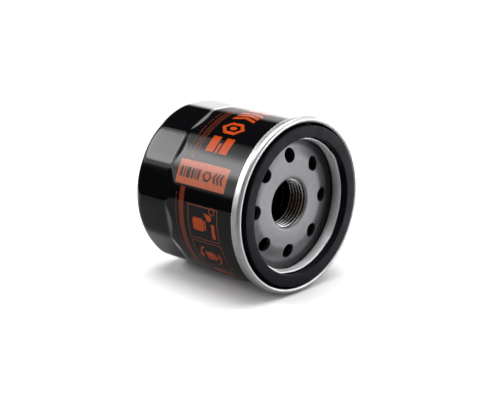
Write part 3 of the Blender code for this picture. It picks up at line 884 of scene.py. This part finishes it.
def make_bypass_valve():
    """Seal, disc, stem and spring of the bypass valve."""
    seal_rear = ELEMENT_REAR - SHEET - GAP
    seal_front = seal_rear - 1.0 * MM
    disc_rear = seal_front - GAP
    disc_front = disc_rear - 0.8 * MM
    seal = turned(block(seal_front, seal_rear, 5.0 * MM, 8.4 * MM, 0.2 * MM), 96)
    add_piece("bypass_valve_seal", seal, "bypass_valve",
              gasket_rubber("bypass_seal_look"))
    disc = closed_round([
        (disc_front, 3.4 * MM), (disc_front, 8.6 * MM), (disc_rear, 8.6 * MM),
        (disc_rear, 1.8 * MM), (disc_front - 1.0 * MM, 1.8 * MM),
        (disc_front - 1.0 * MM, 3.0 * MM)], 0.2 * MM)
    add_piece("bypass_valve_disc", turned(disc, 96), "bypass_valve",
              plain_steel("bypass_disc_look", (0.6, 0.61, 0.62), 0.26))
    shank = 1.45 * MM
    tip = CAGE_FRONT - 2.2 * MM
    stem = rounded([(tip, 0.0), (tip, shank), (seal_front, shank), (seal_front, 2.9 * MM),
                    (seal_front + 0.7 * MM, 2.6 * MM), (seal_front + 0.7 * MM, 0.0)], 0.3 * MM)
    add_piece("bypass_valve_stem", turned(stem, 64), "bypass_valve",
              plain_steel("bypass_stem_look", (0.6, 0.61, 0.62), 0.22))
    front = CAGE_FRONT + SHEET + GAP
    rear = disc_front - GAP
    spring = coil(front, rear, 5.2 * MM, 0.45 * MM, 4.5)
    flex = ("element", "bypass_valve", at(front + 0.5 * MM, 0, 0), at(rear - 0.5 * MM, 0, 0))
    add_piece("bypass_spring", spring, flex,
              plain_steel("bypass_spring_look", (0.45, 0.46, 0.47), 0.22))


# Print on the can, drawn in millimetres of depth and degrees of turn

DEGREE = math.radians(1.0) * CAN_RADIUS / MM    # millimetres round the can in one degree
INK = 0.03 * MM
ICON_FRONT = 16.2
ICON_MIDDLE = 21.6
ICON_REAR = 27.0


def add_print(name, shapes, look, lift=0.015 * MM):
    """Thin printed layer that follows the can's wall, with a second copy on the far side."""
    bm = bmesh.new()
    copies = [[(depth, degrees + 180.0) for depth, degrees in shape] for shape in shapes]
    for shape in shapes + copies:
        bm.faces.new([bm.verts.new((depth, degrees, 0.0)) for depth, degrees in shape])
    bmesh.ops.triangulate(bm, faces=bm.faces[:])
    turns = [vert.co.y for vert in bm.verts]
    stride = 2.0
    cut = math.ceil(min(turns) / stride) * stride
    while cut < max(turns):
        geometry = bm.verts[:] + bm.edges[:] + bm.faces[:]
        bmesh.ops.bisect_plane(bm, geom=geometry, plane_co=(0, cut, 0), plane_no=(0, 1, 0),
                               dist=1e-6)
        cut += stride
    raised = bmesh.ops.extrude_face_region(bm, geom=bm.faces[:])
    upper = {item for item in raised["geom"] if isinstance(item, bmesh.types.BMVert)}
    for vert in bm.verts:
        depth = vert.co.x * MM
        turn = math.radians(vert.co.y)
        _, wall = can_shape(depth, CAN_RADIUS, turn)
        vert.co = at(depth, wall + lift - (0.0 if vert in upper else INK), turn)
    add_piece(name, bm, "shell", look, 60.0)


def oblong(front, rear, low, high):
    return [(front, low), (rear, low), (rear, high), (front, high)]


def ribbon(points, width, closed=False):
    """Mitred quads of one width along a line."""
    flat = [Vector((depth, degrees * DEGREE)) for depth, degrees in points]
    count = len(flat)
    rails = []
    for index, point in enumerate(flat):
        before = flat[index - 1] if index or closed else None
        after = flat[(index + 1) % count] if index < count - 1 or closed else None
        arriving = (point - before).normalized() if before else (after - point).normalized()
        leaving = (after - point).normalized() if after else arriving
        along = (arriving + leaving).normalized()
        normal = Vector((-along.y, along.x)) * (width / 2 / max(along.dot(leaving), 0.4))
        rails.append((point + normal, point - normal))
    quads = []
    for one, other in zip(rails, rails[1:] + rails[:1] if closed else rails[1:]):
        corners = (one[0], other[0], other[1], one[1])
        quads.append([(corner.x, corner.y / DEGREE) for corner in corners])
    return quads


def ellipse(depth, degrees, along, across, sides=28, start=0.0, sweep=360.0):
    """Points of an ellipse whose half-sizes are in millimetres."""
    count = sides if sweep >= 360 else sides + 1
    points = []
    for side in range(count):
        turn = math.radians(start + sweep * side / sides)
        points.append((depth + along * math.cos(turn), degrees + across * math.sin(turn) / DEGREE))
    return points


def chevrons(middle, width):
    """Three bold chevrons that point round the can."""
    step = width / 3
    lean = step * 0.75
    arm = step * 0.62
    shapes = []
    for index in range(3):
        start = middle - width / 2 + step * index
        shapes.append([(ICON_FRONT, start), (ICON_MIDDLE, start + lean),
                       (ICON_MIDDLE, start + lean + arm), (ICON_FRONT, start + arm)])
        shapes.append([(ICON_MIDDLE, start + lean), (ICON_REAR, start), (ICON_REAR, start + arm),
                       (ICON_MIDDLE, start + lean + arm)])
    return shapes


def nut(middle, width):
    """Hexagon outline with a solid disc in it."""
    hexagon = ellipse(ICON_MIDDLE, middle, 4.7, width / 2 * DEGREE - 0.6, 6)
    return ribbon(hexagon, 1.4, True) + [ellipse(ICON_MIDDLE, middle, 1.7, 1.0)]


def bars(middle, width):
    """Solid block split by narrow gaps."""
    low = middle - width / 2
    high = middle + width / 2
    return [oblong(ICON_FRONT, 20.2, low, high), oblong(21.0, 22.2, low, middle + width * 0.1),
            oblong(23.0, ICON_REAR, low, high)]


def canister(depth, degrees, size):
    """Filter silhouette: rounded body with a narrower collar."""
    body = []
    for corner_depth, corner_turn, start in ((1, 1, 0), (-1, 1, 90), (-1, -1, 180), (1, -1, 270)):
        centre = (depth + corner_depth * 1.7 * size, degrees + corner_turn * 1.5 * size / DEGREE)
        body += ellipse(*centre, 1.1 * size, 1.1 * size, 5, start, 90.0)
    collar = oblong(depth - 3.9 * size, depth - 3.1 * size, degrees - 1.9 * size / DEGREE,
                    degrees + 1.9 * size / DEGREE)
    return [body, collar]


def drop(depth, degrees, size):
    tip = (depth + 2.6 * size, degrees + 1.6 * size / DEGREE)
    return [ellipse(depth, degrees, 1.2 * size, 1.2 * size, 14, 75.0, 250.0) + [tip]]


def turning_arrow(depth, degrees, size, start, sweep):
    """Curved band that ends in an arrowhead."""
    points = ellipse(depth, degrees, 3.6 * size, 3.6 * size, 14, start, sweep)
    shapes = ribbon(points, 0.55 * size)
    end = math.radians(start + sweep)
    radial = Vector((math.cos(end), math.sin(end)))
    forward = Vector((-radial.y, radial.x)) * math.copysign(1.0, sweep)
    centre = Vector((depth, degrees * DEGREE)) + radial * 3.6 * size
    corners = (centre + radial * 1.0 * size, centre - radial * 1.0 * size,
               centre + forward * 1.9 * size)
    shapes.append([(corner.x, corner.y / DEGREE) for corner in corners])
    return shapes


def tick_row(depth, low, high, seed):
    """Row of short dashes of uneven length."""
    rng = random.Random(seed)
    shapes = []
    turn = low
    while turn < high:
        length = rng.uniform(0.8, 2.2)
        shapes.append(oblong(depth, depth + 0.45, turn, min(turn + length, high)))
        turn += length + rng.choice((0.7, 0.7, 1.6))
    return shapes


def print_look(name, colour):
    """Screen-printed ink: glossy, with a slightly uneven, rubbed coat."""
    look = Look(name, colour, 0.08, IOR=1.33)
    wear = look.noise(420.0, 4.0, 0.7)
    rubbed = look.remap(wear, 0.45, 0.75, 0.0, 0.6)
    look.use("Base Color", look.blend(rubbed, colour, tinted(colour, 0.72)))
    look.use("Roughness", look.remap(wear, 0.3, 0.8, 0.06, 0.13))
    look.bump((look.noise(700.0, 2.0), 0.03, 0.1 * MM))
    return look


def icon_row():
    """Bars, nut and chevrons, twice over."""
    icons = []
    for index in range(6):
        icon = (bars, nut, chevrons)[index % 3]
        icons += icon(-42.0 + 15.5 * index, 12.5)
    return icons


def panel_marks():
    """Upright bars, a hexagon and three arrowheads on the pale panel."""
    low, middle, high = -68.6, -65.0, -61.4
    marks = []
    start = 24.6
    for length in (1.2, 0.7, 1.2, 2.0, 0.7, 1.2):
        marks.append(oblong(start, start + length, low, high))
        start += length + 0.6
    marks += ribbon(ellipse(20.9, middle, 1.8, 1.8, 6), 0.8, True)
    for start in (12.4, 14.2, 16.0):
        elbow = start + 1.0
        tip = start + 2.0
        marks.append([(start, low), (elbow, low), (tip, middle), (elbow, middle)])
        marks.append([(elbow, middle), (tip, middle), (elbow, high), (start, high)])
    return marks


def pictogram_frames():
    """Two frames, the first with a small ring in its corner."""
    frames = []
    for low, high in ((-108.0, -85.0), (-133.0, -110.5)):
        frames += ribbon(oblong(13.0, 28.0, low, high), 0.28, True)
    return frames + ribbon(ellipse(15.8, -86.8, 1.3, 1.3, 20), 0.35, True)


def pictograms():
    """A canister with a drop over a surface, and a canister between two turning arrows."""
    depth, turn = 20.8, -122.0
    figures = canister(22.9, -97.4, 1.0) + drop(17.2, -91.6, 1.05)
    figures.append(oblong(14.6, 16.2, -105.6, -95.2))
    figures += canister(depth, turn, 0.82)
    for start in (245.0, 65.0):
        figures += turning_arrow(depth, turn, 1.3, start, -62.0)
    return figures


def stripes():
    """A broad stripe, three fine lines and two rows of dashes."""
    shapes = [oblong(30.4, 32.8, -139.0, -74.6)]
    for depth in (30.1, 31.2, 32.3):
        shapes.append(oblong(depth, depth + 0.35, -55.2, 38.0))
    return shapes + tick_row(34.2, -135.0, -79.0, 5) + tick_row(34.2, -50.0, -6.0, 8)


def make_prints():
    orange = print_look("orange_ink", (0.44, 0.056, 0.007))
    pale = print_look("salmon_ink", (0.41, 0.085, 0.028))
    brown = print_look("brown_ink", (0.15, 0.028, 0.012))
    rust = print_look("rust_ink", (0.28, 0.055, 0.018))
    dark = print_look("dark_ink", (0.022, 0.018, 0.017))
    add_print("print_icons", icon_row(), orange)
    add_print("print_panel", [oblong(10.8, 36.0, -73.2, -56.7)], pale)
    add_print("print_marks", panel_marks(), dark, 0.03 * MM)
    add_print("print_boxes", pictogram_frames(), rust)
    add_print("print_figures", pictograms(), orange)
    add_print("print_stripes", stripes(), brown)


make_can()
make_lid()
make_seam_compound()
make_gasket()
make_plate()
make_drainback_valve()
make_end_cap("element_top_cap", ELEMENT_FRONT, ELEMENT_FRONT + 2.7 * MM, 10.0 * MM,
             ELEMENT_FRONT + 3.0 * MM)
make_end_cap("element_bottom_cap", ELEMENT_REAR, ELEMENT_REAR - 2.7 * MM, 6.2 * MM)
make_centre_tube()
make_media()
make_seam_clip()
make_adhesive("top_adhesive", ELEMENT_FRONT + SHEET + GAP, media_span()[0] - GAP)
make_adhesive("bottom_adhesive", media_span()[1] + GAP, ELEMENT_REAR - SHEET - GAP)
make_spring_seat()
make_element_spring()
make_bypass_cage()
make_bypass_valve()
make_prints()


# Stage, light and camera

def make_floor():
    """Pale disc under the filter, tilted a little because the filter rests on its seam ring and
    on the flats of its closed end. For rays other than the camera's its colour holds a painted
    shadow, darker at the front left."""
    seam_x = FRONT - 2.7 * MM
    flat_x = FRONT - 55.0 * MM
    tilt = math.atan((SEAM_RADIUS - FLAT_APOTHEM) / (seam_x - flat_x))
    bm = bmesh.new()
    bmesh.ops.create_circle(bm, cap_ends=True, segments=128, radius=170 * MM)
    bmesh.ops.translate(bm, verts=bm.verts, vec=(-35 * MM, -50 * MM, 0.0))
    floor = new_object("floor", bm)
    floor.rotation_euler = (0.0, tilt, 0.0)
    floor.location = (0.0, 0.0, math.tan(tilt) * seam_x)
    look = Look("floor_look", (0.86, 0.86, 0.87), 0.9)
    grain = look.blend(look.noise(500.0, 3.0), (0.93, 0.93, 0.94), (0.98, 0.98, 0.98))
    x, y, _ = look.split(look.coords)
    away = look.math("SUBTRACT", y, look.times(x, 0.6))
    # Painted shadow: rays other than the camera's see the floor darker towards the front left.
    shaded_bounce = look.blend(look.remap(away, -30 * MM, 20 * MM), (0.25, 0.25, 0.25),
                         (0.90, 0.90, 0.91))
    seen = look.new("ShaderNodeLightPath").outputs["Is Camera Ray"]
    look.use("Base Color", look.blend(seen, shaded_bounce, grain))
    look.use("Roughness", look.remap(look.noise(40.0), 0.3, 0.7, 0.85, 0.95))
    floor.data.materials.append(look.material)


def make_world():
    """Dark studio with soft bright panels, which the camera itself sees as plain white."""
    panels = (
        # azimuth from and to, elevation from and to, edge softness, strength
        (-80.0, 60.0, -20.0, 14.0, 6.0, 1.5),  # foot of the backdrop
        (-80.0, 60.0, -20.0, 27.0, 6.0, 1.5),  # backdrop
        (-30.0, 50.0, 34.0, 62.0, 16.0, 1.7),  # glow above it
        (-170.0, -97.0, 8.0, 47.0, 7.0, 2.1),  # window at the front left
        (-134.0, -108.0, 25.0, 40.0, 9.0, 7.5),  # its bright middle
        (50.0, 140.0, -10.0, 40.0, 14.0, 0.35),  # faint fill at the right
        (-180.0, 180.0, 62.0, 95.0, 16.0, 4.6),  # softbox overhead
    )
    darkness = 0.012
    seen_white = 1.05
    world = bpy.data.worlds.new("studio")
    bpy.context.scene.world = world
    world.use_nodes = True
    world.node_tree.nodes.clear()
    nodes = Nodes(world.node_tree)

    def panel(angle, low, high, softness):
        half = softness / 2
        return nodes.band(angle, (low - half, low + half), (high - half, high + half))

    x, y, z = nodes.split(nodes.new("ShaderNodeTexCoord").outputs["Generated"])
    azimuth = nodes.times(nodes.math("ARCTAN2", x, y), math.degrees(1.0))
    elevation = nodes.times(nodes.math("ARCSINE", z), math.degrees(1.0))
    total = darkness
    for az_low, az_high, el_low, el_high, softness, strength in panels:
        inside = nodes.times(panel(azimuth, az_low, az_high, softness),
                             panel(elevation, el_low, el_high, softness))
        total = nodes.math("ADD", total, nodes.times(inside, strength))
    seen = nodes.new("ShaderNodeLightPath").outputs["Is Camera Ray"]
    shown = nodes.new("ShaderNodeMix", Factor=seen, A=total, B=seen_white)
    background = nodes.new("ShaderNodeBackground", Color=(1.0, 1.0, 1.0, 1.0),
                           Strength=shown.outputs[0])
    nodes.new("ShaderNodeOutputWorld", Surface=background.outputs[0])


def make_camera():
    """Long lens that looks along the filter's front quarter, a little from above."""
    azimuth = math.radians(43.03)
    elevation = math.radians(16.46)
    distance = 0.56205
    target = Vector((FRONT - 0.24 * MM, -28.56 * MM, AXIS_Z + 8.84 * MM))
    back = Vector((math.sin(azimuth) * math.cos(elevation),
                   -math.cos(azimuth) * math.cos(elevation), math.sin(elevation)))
    data = bpy.data.cameras.new("camera")
    data.lens = 111.9
    data.sensor_width = 36.0
    camera = bpy.data.objects.new("camera", data)
    bpy.context.scene.collection.objects.link(camera)
    camera.location = target + back * distance
    camera.rotation_mode = "QUATERNION"
    camera.rotation_quaternion = (-back).to_track_quat("-Z", "Y")
    bpy.context.scene.camera = camera


make_floor()
make_world()
make_camera()
bpy.context.scene.view_settings.view_transform = "Standard"
